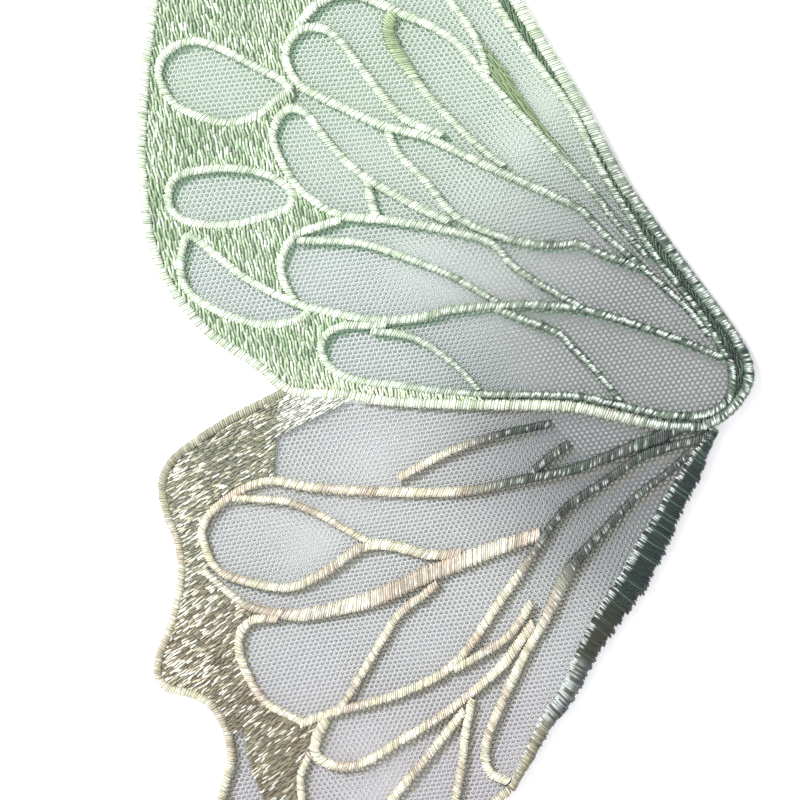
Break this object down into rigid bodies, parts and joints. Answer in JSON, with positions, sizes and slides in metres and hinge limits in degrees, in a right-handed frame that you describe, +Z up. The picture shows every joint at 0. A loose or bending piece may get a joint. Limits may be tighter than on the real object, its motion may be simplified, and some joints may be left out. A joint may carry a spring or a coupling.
{
  "type": "fairy wings",
  "caption": "Flat embroidered tulle wing set for a costume: a veined forewing with a hindwing hanging below it, both meeting at a sewn root",
  "frame": {"origin": "on the back of the net inside the root loop, where the set is sewn on", "axes": "+Z up along the wing set's long way, -Y is the embroidered front, +X points from the wing tips towards the wearer's spine"},
  "size_m": [0.1234, 0.002, 0.2496],
  "materials": {
    "net_mint": "sheer hexagonal tulle, two layers, faint mint tint",
    "net_grey": "sheer hexagonal tulle, two layers, pale grey",
    "satin_mint": "raised satin stitch in lustrous mint-green thread, darker green near the root",
    "satin_cream": "raised satin stitch in lustrous champagne thread with beige-pink stretches",
    "satin_teal": "wide satin stitch in dark teal to black-olive thread",
    "tatami_mint": "rows of running stitch in alternating mint and green thread",
    "tatami_green": "rows of running stitch in deep green thread",
    "tatami_olive": "rows of running stitch in cream thread over olive ground",
    "blade_green": "smooth dense stitching in plain mid green"
  },
  "bodies": {
    "forewing": {"forewing_net_back": "net_mint", "forewing_net_front": "net_mint", "forewing_margin_fill": "tatami_mint", "forewing_leading_fill": "tatami_green", "forewing_root_fill": "tatami_green", "forewing_blade_fill": "blade_green", "forewing_edge_cord": "satin_mint", "forewing_root_loop": "satin_mint", "forewing_leading_cord": "satin_mint", "forewing_eyelet_1": "satin_mint", "forewing_eyelet_2": "satin_mint", "forewing_eyelet_3": "satin_mint", "forewing_eyelet_4": "satin_mint", "forewing_eyelet_5": "satin_mint", "forewing_cell_a": "satin_mint", "forewing_vein_arch": "satin_mint", "forewing_cell_tip": "satin_mint", "forewing_vein_fork": "satin_mint", "forewing_cell_b": "satin_mint", "forewing_vein_long": "satin_mint", "forewing_vein_cross": "satin_mint", "forewing_cell_c": "satin_mint", "forewing_vein_c": "satin_mint", "forewing_cell_d": "satin_mint", "forewing_vein_d": "satin_mint", "forewing_vein_e": "satin_mint"},
    "hindwing": {"hindwing_net_back": "net_grey", "hindwing_net_front": "net_grey", "hindwing_margin_fill": "tatami_olive", "hindwing_edge_cord": "satin_cream", "hindwing_trailing_band": "satin_teal", "hindwing_vein_7": "satin_cream", "hindwing_vein_8": "satin_cream", "hindwing_vein_4": "satin_cream", "hindwing_vein_1": "satin_cream", "hindwing_vein_2": "satin_cream", "hindwing_vein_5": "satin_cream", "hindwing_vein_6": "satin_cream", "hindwing_vein_9": "satin_cream", "hindwing_vein_10": "satin_cream", "hindwing_vein_11": "satin_cream", "hindwing_vein_12": "satin_cream", "hindwing_cell_cord": "satin_cream", "hindwing_vein_13": "satin_cream", "hindwing_fill_cord": "satin_cream"}
  },
  "joints": [
    {"name": "hindwing_fold", "type": "hinge", "parent": "forewing", "child": "hindwing", "pos_m": [0.004, -0.00205, -0.0112], "axis": [-0.9961, 0, 0.0885], "range_deg": [0, 170]}
  ]
}
